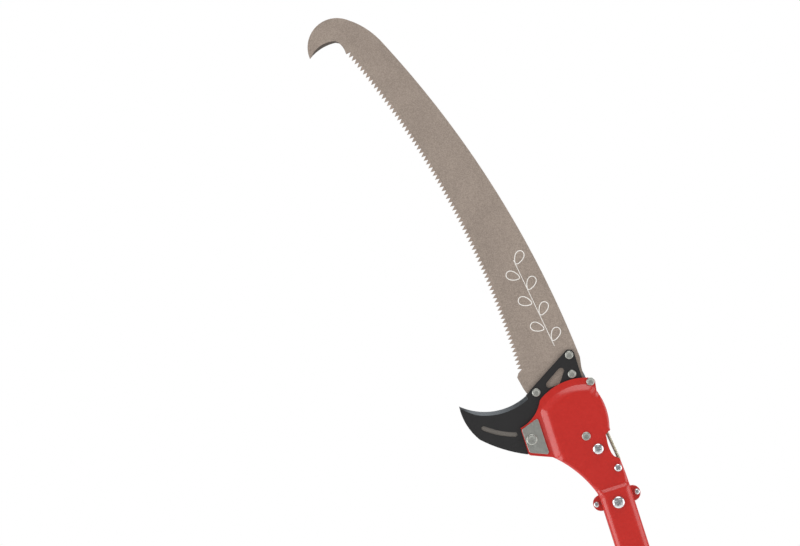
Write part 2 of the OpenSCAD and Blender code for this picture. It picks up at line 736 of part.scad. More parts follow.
// Lever that lies along the right side, with a thumb lip at its free end
module lever(w, d, z) {
    pin = lever_pin_at(w, d);
    lever_h = collar_h - 2 * ear_h - 2 * 0.4;
    foot = z + collar_lip - collar_h + ear_h + 0.4;
    difference() {
        translate([pin[0], pin[1], foot]) union() {
            cylinder(r = knuckle_r - 1, h = lever_h);
            translate([-lever_t / 2, 0, 0]) cube([lever_t, lever_len, lever_h]);
            translate([-lever_t / 2 + 2.5, lever_len, 0]) cylinder(r = 2.5, h = lever_h);
            translate([0, lever_len - 3, 4]) cube([lever_t / 2 + 3, 6, lever_h - 8]);
        }
        translate([pin[0], pin[1], foot - 1]) cylinder(r = lever_pin_r + run, h = lever_h + 2);
    }
}
module lower_collar() { color("#26262a") collar(outer_w, outer_d, outer_corner, outer_z1); }
module upper_collar() { color("#26262a") collar(middle_w, middle_d, middle_corner, middle_z1); }
module lower_collar_screws() { color("silver") collar_screws(outer_w, outer_z1); }
module upper_collar_screws() { color("silver") collar_screws(middle_w, middle_z1); }
module lower_lever_pin() { color("silver") lever_pin(outer_w, outer_d, outer_z1); }
module upper_lever_pin() { color("silver") lever_pin(middle_w, middle_d, middle_z1); }
module lower_clamp_pad() { color("dimgray") clamp_pad(outer_w, outer_z1); }
module upper_clamp_pad() { color("dimgray") clamp_pad(middle_w, middle_z1); }
module lower_lever() { color("#cc3326") lever(outer_w, outer_d, outer_z1); }
module upper_lever() { color("#cc3326") lever(middle_w, middle_d, middle_z1); }

end_cap();
end_cap_pin();
outer_tube();
grip();
lower_collar();
lower_collar_screws();
lower_lever_pin();
lower_clamp_pad();
lower_lever();
middle_tube();
middle_glide();
upper_collar();
upper_collar_screws();
upper_lever_pin();
upper_clamp_pad();
upper_lever();
inner_tube();
inner_glide();
front_shell();
rear_shell();
pivot_pin();
pivot_spacers();
stop_rivet();
dome_rivet();
dome_rivet_sleeve();
head_bolt();
head_bolt_sleeve();
head_nut();
spring_bolt();
spring_sleeve();
spring_nut();
neck_bolt();
neck_nut();
ear_screws();
ear_nuts();
front_guide_plate();
rear_guide_plate();
guide_rivet();
return_spring();
saw_blade();
hook_plate();
backing_plate();
hub_spacer();
blade_rivets();
pivot_bush();
spring_post();
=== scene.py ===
"""Telescoping pole saw: the looks of the saw head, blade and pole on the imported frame."""

import math

import bmesh
import bpy
import numpy as np
from mathutils import Matrix, Vector
from mathutils.geometry import delaunay_2d_cdt


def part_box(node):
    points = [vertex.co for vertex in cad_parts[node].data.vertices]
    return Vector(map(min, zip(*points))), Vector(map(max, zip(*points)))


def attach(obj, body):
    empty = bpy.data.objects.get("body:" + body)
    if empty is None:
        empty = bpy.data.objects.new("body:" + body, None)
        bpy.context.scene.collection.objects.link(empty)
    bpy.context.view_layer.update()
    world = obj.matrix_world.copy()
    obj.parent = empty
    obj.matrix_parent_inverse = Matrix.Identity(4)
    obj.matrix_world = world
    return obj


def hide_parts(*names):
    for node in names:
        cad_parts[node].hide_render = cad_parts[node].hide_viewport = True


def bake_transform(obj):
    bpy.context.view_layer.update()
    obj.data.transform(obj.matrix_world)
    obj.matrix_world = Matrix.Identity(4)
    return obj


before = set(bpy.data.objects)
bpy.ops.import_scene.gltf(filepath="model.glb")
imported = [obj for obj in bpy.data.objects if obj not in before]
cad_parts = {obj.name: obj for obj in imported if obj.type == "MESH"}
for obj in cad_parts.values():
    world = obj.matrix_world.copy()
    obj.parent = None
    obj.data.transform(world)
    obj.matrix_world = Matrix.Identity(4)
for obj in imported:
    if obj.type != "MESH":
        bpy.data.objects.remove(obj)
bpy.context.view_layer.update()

# ---------------------------------------------------------------- materials
# Every finish is worked out from real pattern sizes in millimetres, in the object's own space.
MM = 0.001


def linear(code):
    """A six-digit sRGB colour as linear red, green, blue and alpha."""
    parts = [int(code[i : i + 2], 16) / 255 for i in (0, 2, 4)]
    return (*[c / 12.92 if c <= 0.04045 else ((c + 0.055) / 1.055) ** 2.4 for c in parts], 1.0)


def put(tree, kind, inputs=None, **settings):
    """Adds a shader node, with settings, input values and links to its sockets."""
    node = tree.nodes.new("ShaderNode" + kind)
    for key, value in settings.items():
        setattr(node, key, value)
    for key, value in (inputs or {}).items():
        if isinstance(value, bpy.types.NodeSocket):
            tree.links.new(value, node.inputs[key])
        else:
            node.inputs[key].default_value = value
    return node


def noise(tree, where, size_mm, detail=3.0, stretch=(1, 1, 1)):
    """Noise whose blobs are size_mm across, drawn out along an axis by stretch."""
    shrink = tuple(1 / s for s in stretch)
    scaled = put(tree, "VectorMath", {0: where, 1: shrink}, operation="MULTIPLY").outputs[0]
    pattern = {"Vector": scaled, "Scale": 1 / (size_mm * MM), "Detail": detail}
    return put(tree, "TexNoise", pattern).outputs["Fac"]


def spread(tree, value, low, high):
    """Turns a noise value into a range from low to high."""
    ends = {"From Min": 0.3, "From Max": 0.7, "To Min": low, "To Max": high}
    return put(tree, "MapRange", {"Value": value, **ends}).outputs["Result"]


BLOTCH_MM = 30
COAT_ROUGH = 0.12


def finish_of(
    name, dark, light, rough, grain_mm, bump_mm, metal=0.0, stretch=(1, 1, 1), coat=0.0, blotch=0.25
):
    """A surface between two colours, its grain grain_mm across and bump_mm high, with blotches."""
    mat = bpy.data.materials.new(name)
    mat.use_nodes = True
    tree = mat.node_tree
    skin = tree.nodes["Principled BSDF"]
    where = put(tree, "TexCoord").outputs["Object"]
    fine = noise(tree, where, grain_mm, 4.0, stretch)
    broad = noise(tree, where, BLOTCH_MM, 2.0)
    mixed = put(tree, "Mix", {0: blotch, 2: fine, 3: broad}).outputs[0]
    shade = put(tree, "MapRange", {"Value": mixed, "From Min": 0.35, "From Max": 0.65})
    tints = {0: shade.outputs["Result"], 6: linear(dark), 7: linear(light)}
    tint = put(tree, "Mix", tints, data_type="RGBA").outputs[2]
    relief = put(tree, "Bump", {"Height": fine, "Distance": bump_mm * MM}).outputs["Normal"]
    tree.links.new(tint, skin.inputs["Base Color"])
    tree.links.new(spread(tree, fine, *rough), skin.inputs["Roughness"])
    tree.links.new(relief, skin.inputs["Normal"])
    skin.inputs["Metallic"].default_value = metal
    skin.inputs["Coat Weight"].default_value = coat
    skin.inputs["Coat Roughness"].default_value = COAT_ROUGH
    return mat


# Red stove enamel on pressed steel: glossy, with a faint orange peel.
ENAMEL = finish_of("red_stove_enamel", "b51b11", "bc1e14",
                   rough=(0.3, 0.38), grain_mm=2.4, bump_mm=0.002, coat=0.28)
# Zinc plate on rolled steel, satin, with fine rolling marks along the part.
ZINC = finish_of("satin_zinc_plate", "a6a7a1", "b9bab4",
                 rough=(0.36, 0.46), grain_mm=0.5, bump_mm=0.003, metal=1.0, stretch=(1, 1, 4))
# Bright zinc on cold-headed screws.
BRIGHT = finish_of("bright_zinc_screw", "c4c6c8", "e4e6e8",
                   rough=(0.16, 0.28), grain_mm=0.8, bump_mm=0.003, metal=1.0)
# Blue-white zinc on the plate behind the blade.
BLUE_ZINC = finish_of("blue_zinc_plate", "8f9aa6", "b4bec8",
                      rough=(0.22, 0.36), grain_mm=0.7, bump_mm=0.004, metal=1.0, stretch=(1, 1, 5))
# Black baked paint on the cutting claw.
BLACK = finish_of("black_baked_paint", "161516", "1e1d1e",
                  rough=(0.38, 0.52), grain_mm=0.6, bump_mm=0.008)
# Ground steel along the claw's cutting edge.
GROUND = finish_of("ground_cutting_edge", "484b4e", "5b5f62",
                   rough=(0.3, 0.44), grain_mm=0.3, bump_mm=0.006, metal=0.8, stretch=(1, 1, 6))
# Bare milled steel on the floor of the claw's groove.
BARE = finish_of("bare_milled_steel", "66605d", "858079",
                 rough=(0.4, 0.55), grain_mm=0.6, bump_mm=0.01, metal=0.4)
# Dull nickel on the rolled saw steel, with a peppered grain.
NICKEL = finish_of("dull_nickel_saw_steel", "93867c", "b1a296",
                   rough=(0.44, 0.58), grain_mm=1.0, bump_mm=0.012, metal=0.5, blotch=0.2)
# Dark ground steel inside the tip hook.
HOOK_EDGE = finish_of("ground_hook_edge", "4c4641", "69615a",
                      rough=(0.34, 0.46), grain_mm=0.4, bump_mm=0.006, metal=0.5)
# Filed steel of the teeth, bare and smoother than the blade's plating.
FILED = finish_of("filed_tooth_steel", "9a8a7e", "b8a79a",
                  rough=(0.34, 0.46), grain_mm=0.4, bump_mm=0.006, metal=0.4)
# White screen-printed ink.
INK = finish_of("white_screen_ink", "e4e0da", "f2efea",
                rough=(0.5, 0.6), grain_mm=0.5, bump_mm=0.003)
# Clear anodised aluminium extrusion, with die lines along the tube.
ANODISED = finish_of("anodised_extrusion", "a9abad", "bcbec0",
                     rough=(0.3, 0.42), grain_mm=0.4, bump_mm=0.004, metal=1.0, stretch=(1, 1, 60))
# Glass-filled nylon from a spark-eroded mould.
NYLON = finish_of("black_glass_nylon", "18181a", "222224",
                  rough=(0.5, 0.66), grain_mm=0.5, bump_mm=0.02)
# Red moulded nylon of the lock levers.
RED_NYLON = finish_of("red_moulded_nylon", "a81c14", "b4231a",
                      rough=(0.36, 0.5), grain_mm=0.6, bump_mm=0.012)
# Grip rubber, matt and slightly dusty.
RUBBER = finish_of("grip_rubber", "1c1c1d", "29292a",
                   rough=(0.7, 0.86), grain_mm=0.9, bump_mm=0.03)
# Plain white nylon of the glides.
GLIDE = finish_of("white_glide_nylon", "d8d8d4", "e6e6e2",
                  rough=(0.45, 0.6), grain_mm=1.0, bump_mm=0.006)
# Turned bronze of the pivot's bush.
BRONZE = finish_of("turned_bronze", "a07c3e", "bf9a58",
                   rough=(0.25, 0.4), grain_mm=0.4, bump_mm=0.004, metal=1.0)
# Drawn spring wire, lightly oiled.
WIRE = finish_of("drawn_spring_wire", "b3ac98", "d2ccb8",
                 rough=(0.28, 0.42), grain_mm=0.4, bump_mm=0.004, metal=1.0)

# ---------------------------------------------------------------- pieces shown as the CAD has them
# Drawn tubes, moulded collars and levers, pins, sleeves and nuts are shown by their own CAD solids.
# Their edges are broken and each gets its finish.


WELD_MM = 0.004
SHARP = 40


def dress(node, mat, edge_mm):
    """Gives a CAD piece its finish, and breaks its sharp edges by edge_mm."""
    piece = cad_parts[node]
    piece.data.materials.clear()
    piece.data.materials.append(mat)
    weld = piece.modifiers.new("weld", "WELD")
    weld.merge_threshold = WELD_MM * MM
    edge = piece.modifiers.new("broken_edge", "BEVEL")
    edge.width = edge_mm * MM
    edge.segments = 2
    edge.limit_method = "ANGLE"
    edge.angle_limit = math.radians(SHARP)
    edge.use_clamp_overlap = True
    flatter = piece.modifiers.new("even_faces", "WEIGHTED_NORMAL")
    flatter.mode = "FACE_AREA"
    flatter.weight = 100
    piece.data.polygons.foreach_set("use_smooth", [True] * len(piece.data.polygons))


# The finish of each piece, and how far its edges are broken in millimetres.
CAD_FINISH = {
    "end_cap": (NYLON, 0.8),
    "end_cap_pin": (ZINC, 0.2),
    "outer_tube": (ANODISED, 0.2),
    "lower_collar": (NYLON, 0.8),
    "lower_collar_screws": (BRIGHT, 0.3),
    "lower_lever_pin": (ZINC, 0.3),
    "lower_clamp_pad": (RUBBER, 0.3),
    "lower_lever": (RED_NYLON, 0.7),
    "middle_tube": (ANODISED, 0.2),
    "middle_glide": (GLIDE, 0.3),
    "upper_collar": (NYLON, 0.8),
    "upper_collar_screws": (BRIGHT, 0.3),
    "upper_lever_pin": (ZINC, 0.3),
    "upper_clamp_pad": (RUBBER, 0.3),
    "upper_lever": (RED_NYLON, 0.7),
    "inner_tube": (ANODISED, 0.2),
    "inner_glide": (GLIDE, 0.3),
    "pivot_pin": (ZINC, 0.2),
    "pivot_spacers": (ZINC, 0.2),
    "dome_rivet_sleeve": (ZINC, 0.2),
    "head_bolt_sleeve": (ZINC, 0.2),
    "head_nut": (BRIGHT, 0.3),
    "spring_sleeve": (ZINC, 0.2),
    "spring_nut": (BRIGHT, 0.3),
    "neck_nut": (BRIGHT, 0.3),
    "ear_nuts": (BRIGHT, 0.2),
    "front_guide_plate": (ZINC, 0.25),
    "rear_guide_plate": (ZINC, 0.25),
    "backing_plate": (BLUE_ZINC, 0.08),
    "hub_spacer": (ZINC, 0.1),
    "pivot_bush": (BRONZE, 0.1),
    "spring_post": (ZINC, 0.2),
    "grip": (RUBBER, 0.5),
}
for node_name, (node_mat, node_edge) in CAD_FINISH.items():
    dress(node_name, node_mat, node_edge)

# ---------------------------------------------------------------- shapes in the plane of the blade
# Outlines are in millimetres from the neck bolt: across the blade and up the pole.
low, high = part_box("neck_bolt")
NECK = Vector(((low.x + high.x) / 2, 0, (low.z + high.z) / 2))


def at(x, y, z):
    """A place in the part's frame, from millimetres off the neck bolt."""
    return NECK + Vector((x, y, z)) * MM


def arc(c, r, a0, a1, count):
    """Points along an arc about c, from a0 to a1 degrees, in count steps."""
    turns = np.radians(np.linspace(a0, a1, count + 1))
    return [(c[0] + r * math.cos(t), c[1] + r * math.sin(t)) for t in turns]


def thinned(points, gap):
    """The polyline with a point about every gap mm, its corners kept."""
    out = [points[0]]
    for a, b in zip(points, points[1:]):
        steps = max(1, round(math.dist(a, b) / gap))
        shares = [i / steps for i in range(1, steps + 1)]
        out += [(a[0] + (b[0] - a[0]) * t, a[1] + (b[1] - a[1]) * t) for t in shares]
    return out


def distance(points, line):
    """Distance from each point to a polyline, in mm."""
    p = np.asarray(points, float)[:, None, :]
    a = np.asarray(line[:-1], float)[None]
    b = np.asarray(line[1:], float)[None]
    ab = b - a
    t = np.clip(((p - a) * ab).sum(-1) / np.maximum((ab * ab).sum(-1), 1e-12), 0, 1)
    return np.sqrt((((a + ab * t[..., None]) - p) ** 2).sum(-1)).min(1)


def inside(points, ring):
    """Which points lie within a closed ring."""
    p = np.asarray(points, float)
    hit = np.zeros(len(p), bool)
    for (x0, z0), (x1, z1) in zip(ring, ring[1:] + ring[:1]):
        cross = (z0 > p[:, 1]) != (z1 > p[:, 1])
        with np.errstate(divide="ignore", invalid="ignore"):
            hit ^= cross & (p[:, 0] < (x1 - x0) * (p[:, 1] - z0) / (z1 - z0) + x0)
    return hit


# Places closer together than this, in mm, are the same place.
SAME = 0.01


def nearest(place, points):
    """The index of the point nearest to a place, and how far off it is."""
    gaps = np.linalg.norm(np.asarray(points, float) - place, axis=1)
    return int(gaps.argmin()), float(gaps.min())


def triangles(points, edges, ring):
    """Triangulates points inside a ring, given by its indices; returns the points and triangles."""
    flat = [Vector(p) for p in points]
    verts, _, faces, _, _, _ = delaunay_2d_cdt(flat, edges, [ring], 1, 1e-5)
    return [(v.x, v.y) for v in verts], faces


def solid(name, verts, faces, mats, body, indices=None, replaced=()):
    """A mesh piece that rides on a body and stands for the named CAD nodes."""
    mesh = bpy.data.meshes.new(name)
    mesh.from_pydata([tuple(v) for v in verts], [], faces)
    mesh.validate()
    piece = bpy.data.objects.new(name, mesh)
    bpy.context.scene.collection.objects.link(piece)
    for mat in mats:
        mesh.materials.append(mat)
    if indices is not None:
        mesh.polygons.foreach_set("material_index", indices)
    mesh.polygons.foreach_set("use_smooth", [True] * len(mesh.polygons))
    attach(piece, body)
    if replaced:
        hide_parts(*replaced)
    return piece


def set_normals(piece, crease=None):
    """Turns the faces outwards, and keeps open edges and those sharper than crease degrees hard."""
    work = bmesh.new()
    work.from_mesh(piece.data)
    bmesh.ops.recalc_face_normals(work, faces=work.faces)
    if crease is not None:
        for e in work.edges:
            e.smooth = len(e.link_faces) == 2 and e.calc_face_angle(0) < math.radians(crease)
    work.to_mesh(piece.data)
    work.free()


def break_edges(piece, width_mm, angle):
    """Rounds the edges sharper than angle degrees, as on a part that is deburred or painted."""
    edge = piece.modifiers.new("broken_edge", "BEVEL")
    edge.width = width_mm * MM
    edge.segments = 2
    edge.limit_method = "ANGLE"
    edge.angle_limit = math.radians(angle)
    edge.harden_normals = True


# ---------------------------------------------------------------- front and rear shells
# Each half of the head is one steel pressing: a flange, a raised dome with a sloping foot, and a
# neck that steps up to the socket round the tube. Both are enamelled red, and screwed together at
# two ears.
DOME_RIVET = (-10.4, 72.6)
STOP_RIVET = (10.4, 123.1)

# Heights of the outer faces from the mid-plane, the half gap between the pressings, and the sheet.
FLANGE_Y = 6.0
DOME_Y = 10.6
SOCKET_Y = 13.85
CROWN = 0.35
SEAM = 0.12
SHEET = 2.0

# The socket's half width and lower end, and where the face bends from the socket to the dome.
TUBE_X = 16.35
SOCKET_END = -75.0
CREASE_FROM = 12.6
CREASE_RISE = 4.6
CREASE_ZONE = (10, 20)

# Width of the dome's sloping foot, and the walls' bend radii, which change along the neck.
SLOPE = 9.2
SOCKET_BEND = 7.6
DOME_BEND = 2.6
BEND_FROM = 8
BEND_OVER = 16

# How far the painted edges are rounded, and the angle in degrees above which they are.
SHELL_EDGE = 0.35
EAR_EDGE = 0.45
ENAMEL_CREASE = 50

# Each ear is a half disc that starts inside the socket's wall.
EAR_R = 8
EAR_X = 16.5
EAR_INNER_X = 13.5
EAR_Z = 4

# The runs of the outline, round the front half as it is seen, and the line of the dome's foot.
neck_right = [(TUBE_X, SOCKET_END), (TUBE_X, 10), (TUBE_X - 0.2, 18), (15.9, 26), (15.2, 37)]
notch = [(14.9, 40.4), *arc((12.6, 40.4), 2.3, 8, 72, 4), (11.4, 43.4), (9.8, 45.6), (8.5, 49),
         (7.9, 53), (7.7, 57), (7.9, 61), (8.5, 65), *arc((11.9, 66.6), 3.4, 170, 105, 4),
         (12.6, 70.8), *arc((13, 72.2), 1.5, -60, 20, 3)]
bulge = arc((-45.7, 91.6), 62.8, -15.6, 19.6, 22)
foot = [*arc(DOME_RIVET, 51.8, 65, 124, 40), *arc((-38.3, 106.6), 8.2, 132, 182, 6),
        (-46.6, 100), (-46.7, 80), (-46.6, 66), (-46.2, 61.6)]
flange = [*arc((10.0, 122.2), 5.0, -20, 62, 8), *arc(DOME_RIVET, 58.3, 70, 123, 40),
          *arc((-76.8, 136.2), 36.8, -25.5, -80, 26), *arc((-67.2, 96.6), 3.2, 150, 180, 3),
          (-70.4, 90), *arc((-67.6, 73.4), 2.8, 180, 246, 5), (-58, 66.4), (-48.6, 62.6)]
hollow = [*arc((-126.6, -22.7), 115.6, 45.4, 21, 40), (-16.9, 14), (-TUBE_X, 8),
          (-TUBE_X, SOCKET_END)]

wall_right = thinned(neck_right, 1.6)
wall_notch = thinned([wall_right[-1], *notch], 0.8)
wall_bulge = thinned([wall_notch[-1], *bulge], 1.4)
rim = thinned([wall_bulge[-1], *flange, hollow[0]], 1.4)
wall_left = thinned(hollow, 1.4)
foot_line = thinned([wall_bulge[-1], *foot, hollow[0]], 1.2)
mouth = thinned([wall_left[-1], wall_right[0]], 1.4)


def face_height(z):
    """Height of the pressing's face: socket, the crease above it and the slightly crowned dome."""
    step = np.clip((z - CREASE_FROM) / CREASE_RISE, 0, 1)
    step = step * step * (3 - 2 * step)
    crown = CROWN * np.clip((z - 20) / 40, 0, 1) * np.clip((125 - z) / 30, 0, 1)
    return SOCKET_Y + (DOME_Y - SOCKET_Y) * step + crown


def joined(*lines):
    """A closed ring from lines that each start where the last one ends."""
    return [p for line in lines for p in line[:-1]]


ROWS = (0.3, 0.7, 1.2, 1.8, 2.5, 3.3, 4.2, 5.2, 6.2, 7.4, 9.0)
WALL_CLEAR, GRID_CLEAR = 4, 10


def shell_points():
    """The outer ring of a pressing, the ring of its raised part, its points and its foot's edges.

    The foot's edges join the places where the slope meets the flange.
    """
    ring = joined(wall_right, wall_notch, wall_bulge, rim, wall_left, mouth)
    dome_ring = joined(wall_right, wall_notch, wall_bulge, foot_line, wall_left, mouth)
    rows = []
    loop = np.array(dome_ring)
    along = np.roll(loop, -1, 0) - np.roll(loop, 1, 0)
    normal = np.stack([-along[:, 1], along[:, 0]], 1) / np.linalg.norm(along, axis=1)[:, None]
    closed = dome_ring + dome_ring[:1]
    crease_low, crease_high = CREASE_ZONE
    # Rows of points follow the outline inwards, closer together where the sheet bends most. They
    # stay off the crease, except near the walls.
    for d in ROWS:
        moved = loop + normal * d
        moved = moved[(distance(moved, closed) > d * 0.985) & inside(moved, dome_ring)]
        off_crease = (moved[:, 1] < crease_low + 1) | (moved[:, 1] > crease_high - 1)
        moved = moved[off_crease | (d < WALL_CLEAR)]
        rows += [tuple(p) for p in moved]
    # A grid covers the flat parts, and a finer one covers the crease.
    grid = [(x, z) for x in np.arange(-44, 17, 3.0) for z in np.arange(SOCKET_END + 3, 126, 2.4)]
    flat_part = np.array([z < crease_low or z > crease_high for _, z in grid])
    keep = inside(grid, dome_ring) & (distance(grid, closed) > GRID_CLEAR) & flat_part
    rows += [p for p, k in zip(grid, keep) if k]
    crease = [(x, z) for z in np.arange(11.0, 19.1, 0.8) for x in np.arange(-15.5, 15.6, 1.0)]
    keep = inside(crease, dome_ring) & (distance(crease, closed) > WALL_CLEAR)
    rows += [p for p, k in zip(crease, keep) if k]
    points = [*ring, *foot_line[1:-1], *rows]
    first = len(ring)
    edges = [(first + i, first + i + 1) for i in range(len(foot_line) - 3)]
    return ring, dome_ring, points, edges


def shell(name, node, side):
    """One pressing: side is 1 for the front half and -1 for the rear half."""
    ring, dome_ring, points, edges = shell_points()
    flat, faces = triangles(points, edges, list(range(len(ring))))
    p = np.array(flat)
    walls = (wall_right, wall_bulge, wall_left)
    within = inside(p, dome_ring) | (distance(p, dome_ring + dome_ring[:1]) < SAME)
    to_foot = distance(p, foot_line)
    to_wall = np.minimum.reduce([distance(p, line) for line in walls])
    top = face_height(p[:, 1])
    t = np.clip(to_foot / SLOPE, 0, 1)
    slope = (top - FLANGE_Y) * (1 - np.sin(t * math.pi / 2))
    blend_z = np.clip((p[:, 1] - BEND_FROM) / BEND_OVER, 0, 1)
    bend = SOCKET_BEND + (DOME_BEND - SOCKET_BEND) * blend_z
    gap = np.clip(bend - to_wall, 0, None)
    drop = bend - np.sqrt(np.maximum(bend**2 - gap**2, 0))
    y = top - np.maximum(slope, drop)
    y = np.where(within, y, FLANGE_Y)
    verts = [at(x, -side * h, z) for (x, z), h in zip(flat, y)]
    faces = [list(f) for f in faces]
    # Each wall comes down to the seam in two steps.
    for line in walls:
        last = None
        for x, z in line:
            here = nearest((x, z), p)[0]
            column = [here]
            for share in (0.5, 1.0):
                column.append(len(verts))
                verts.append(at(x, -side * (y[here] + (SEAM - y[here]) * share), z))
            if last:
                faces += [[last[i], last[i + 1], column[i + 1], column[i]] for i in (0, 1)]
            last = column
    if side < 0:
        faces = [f[::-1] for f in faces]
    piece = solid(name, verts, faces, [ENAMEL], "head_section", replaced=(node,))
    work = bmesh.new()
    work.from_mesh(piece.data)
    bmesh.ops.remove_doubles(work, verts=work.verts, dist=SAME * MM)
    bmesh.ops.recalc_face_normals(work, faces=work.faces)
    front = max(work.faces, key=lambda f: -side * f.calc_center_median().y)
    if front.normal.y * side > 0:
        bmesh.ops.reverse_faces(work, faces=work.faces)
    work.to_mesh(piece.data)
    work.free()
    sheet = piece.modifiers.new("sheet", "SOLIDIFY")
    sheet.thickness = SHEET * MM
    sheet.offset = -1
    break_edges(piece, SHELL_EDGE, ENAMEL_CREASE)


def ears(name, side):
    """The two round ears, folded flat on the mid-plane, that the small screws hold together."""
    verts, faces = [], []
    for s in (-1, 1):
        half = arc((s * EAR_X, EAR_Z), EAR_R, -90 * s, 90 if s > 0 else 270, 28)
        half = [*half, (s * EAR_INNER_X, half[-1][1]), (s * EAR_INNER_X, half[0][1])]
        first = len(verts)
        for y in (0.02, SHEET):
            verts += [at(x, -side * y, z) for x, z in half]
        n = len(half)
        faces += [[first + i for i in range(n)], [first + n + i for i in reversed(range(n))]]
        for i in range(n):
            k = (i + 1) % n
            faces.append([first + i, first + n + i, first + n + k, first + k])
    piece = solid(name, verts, faces, [ENAMEL], "head_section")
    set_normals(piece)
    break_edges(piece, EAR_EDGE, ENAMEL_CREASE)


shell("front_pressing", "front_shell", 1)
shell("rear_pressing", "rear_shell", -1)
ears("front_ears", 1)
ears("rear_ears", -1)

# ---------------------------------------------------------------- saw blade and cutting claw
# Both are flat steel, riveted together: the blade is nickel-plated saw steel with filed teeth, and
# the claw is black-painted plate. Each is cut to its CAD solid's outline, then ground on its edges.
FLAT_CREASE = 12


def outline(node):
    """Closed outlines of a plate's front face in mm from the neck bolt, the outer one first."""
    work = bmesh.new()
    work.from_mesh(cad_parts[node].data)
    bmesh.ops.remove_doubles(work, verts=work.verts, dist=0.002 * MM)
    front = min(v.co.y for v in work.verts)
    flat = {f for f in work.faces if all(abs(v.co.y - front) < SAME * MM for v in f.verts)}
    after = {}
    for f in flat:
        for loop in f.loops:
            if not any(g in flat for g in loop.edge.link_faces if g is not f):
                after[loop.vert] = loop.link_loop_next.vert
    rings = []
    while after:
        v, ring = next(iter(after)), []
        while v in after:
            ring.append(((v.co.x - NECK.x) / MM, (v.co.z - NECK.z) / MM))
            v = after.pop(v)
        rings.append(ring)
    work.free()
    rings.sort(key=lambda r: -len(r))
    out = []
    for i, ring in enumerate(rings):
        area = sum(a[0] * b[1] - b[0] * a[1] for a, b in zip(ring, ring[1:] + ring[:1]))
        out.append(ring if (area > 0) == (i == 0) else ring[::-1])
    return sorted(out, key=lambda r: -max(p[1] for p in r) + min(p[1] for p in r))


def plate(name, rings, lines, front, back, mats, paint, replaced):
    """A plate on the swinging carrier, between two faces.

    The heights front and back depend on the place, and paint picks the material there.
    """
    points, edges = [], []
    for ring in rings:
        first = len(points)
        points += ring
        edges += [(first + i, first + (i + 1) % len(ring)) for i in range(len(ring))]
    for line in lines:
        first = len(points)
        points += line
        edges += [(first + i, first + i + 1) for i in range(len(line) - 1)]
    flat, faces = triangles(points, edges, list(range(len(rings[0]))))
    centres = [tuple(np.mean([flat[i] for i in f], 0)) for f in faces]
    kept = inside(centres, rings[0])
    for ring in rings[1:]:
        kept &= ~inside(centres, ring)
    faces = [f for f, k in zip(faces, kept) if k]
    centres = [c for c, k in zip(centres, kept) if k]
    n = len(flat)
    verts = [at(x, front(x, z), z) for x, z in flat] + [at(x, back(x, z), z) for x, z in flat]
    sides = {(f[i], f[(i + 1) % 3]): True for f in faces for i in range(3)}
    rim_edges = [e for e in sides if (e[1], e[0]) not in sides]
    made = [list(f) for f in faces] + [[n + i for i in reversed(f)] for f in faces]
    index = [paint(*c) for c in centres] * 2
    for a, b in rim_edges:
        made.append([b, a, n + a, n + b])
        mid = ((flat[a][0] + flat[b][0]) / 2, (flat[a][1] + flat[b][1]) / 2)
        index.append(paint(*mid))
    piece = solid(name, verts, made, mats, "saw_carrier", index, replaced)
    set_normals(piece, FLAT_CREASE)


# Half the blade's thickness, as rolled, at the hook's edge and at a filed tooth's tip.
BLADE_HALF = 0.7
HOOK_HALF = 0.2
FILED_HALF = 0.4

# A tooth's tip is a corner sharper than this, after a side shorter than this, below the hook.
TOOTH_ANGLE = 70
TOOTH_FLANK = 8
TEETH_TOP = 512

blade_rings = outline("saw_blade")
# The outline is turned to start at the tang, so the teeth lie in one run of it.
tang = min(range(len(blade_rings[0])), key=lambda k: blade_rings[0][k][1])
edge = blade_rings[0] = blade_rings[0][tang:] + blade_rings[0][:tang]
teeth = []
for k, here in enumerate(edge):
    before, beyond = edge[k - 1], edge[(k + 1) % len(edge)]
    u = np.subtract(before, here)
    v = np.subtract(beyond, here)
    long_u, long_v = np.linalg.norm(u), np.linalg.norm(v)
    outwards = v[0] * u[1] - v[1] * u[0] > 0
    sharp = math.degrees(math.acos(np.dot(u, v) / (long_u * long_v))) < TOOTH_ANGLE
    if outwards and sharp and long_u < TOOTH_FLANK and here[1] < TEETH_TOP:
        teeth.append(k)
tips = [edge[k] for k in teeth]
roots = [edge[(k + 1) % len(edge)] for k in teeth[:-1]]

# The hook at the tip is sharpened on the left of its throat, by a crescent ground into both faces.
throat_c, throat_r = (-132.8, 487.5), 35.4
THROAT_RIGHT, THROAT_LOW = -124, 509
THROAT_OFF = 2.2
THROAT_WIDE = 3.0
throat = sorted(p for p in edge if p[0] < THROAT_RIGHT and p[1] > THROAT_LOW
                and abs(math.dist(p, throat_c) - throat_r) < THROAT_OFF)


def throat_grind(point):
    """Width of the ground band at a place: none at both ends of the throat, full in the middle."""
    places = (throat[0], throat[-1], point)
    a0, a1, a = (math.atan2(p[1] - throat_c[1], p[0] - throat_c[0]) for p in places)
    t = min(1, max(0, (a - a0) / (a1 - a0)))
    return THROAT_WIDE * math.sin(math.pi * t) ** 0.7


def pushed(p, centre, far):
    """A place moved away from a centre by far mm."""
    k = 1 + far / math.dist(p, centre)
    return (centre[0] + (p[0] - centre[0]) * k, centre[1] + (p[1] - centre[1]) * k)


throat_line = [pushed(p, throat_c, throat_grind(p)) for p in throat[1:-1]]
throat_line = [throat[0], *throat_line, throat[-1]]


def blade_face(side):
    """Height of one face: the hook's throat is thinned, and teeth are filed on alternate sides."""

    def height(x, z):
        k, gap = nearest((x, z), throat)
        if gap < SAME:
            return side * (HOOK_HALF if 0 < k < len(throat) - 1 else BLADE_HALF)
        k, gap = nearest((x, z), tips)
        filed = gap < SAME and (k % 2 == 0) == (side > 0)
        return side * (FILED_HALF if filed else BLADE_HALF)

    return height


tooth_band = [*edge[teeth[0] : teeth[-1] + 1], *roots[::-1]]
crescent = [*throat, *throat_line[::-1]]


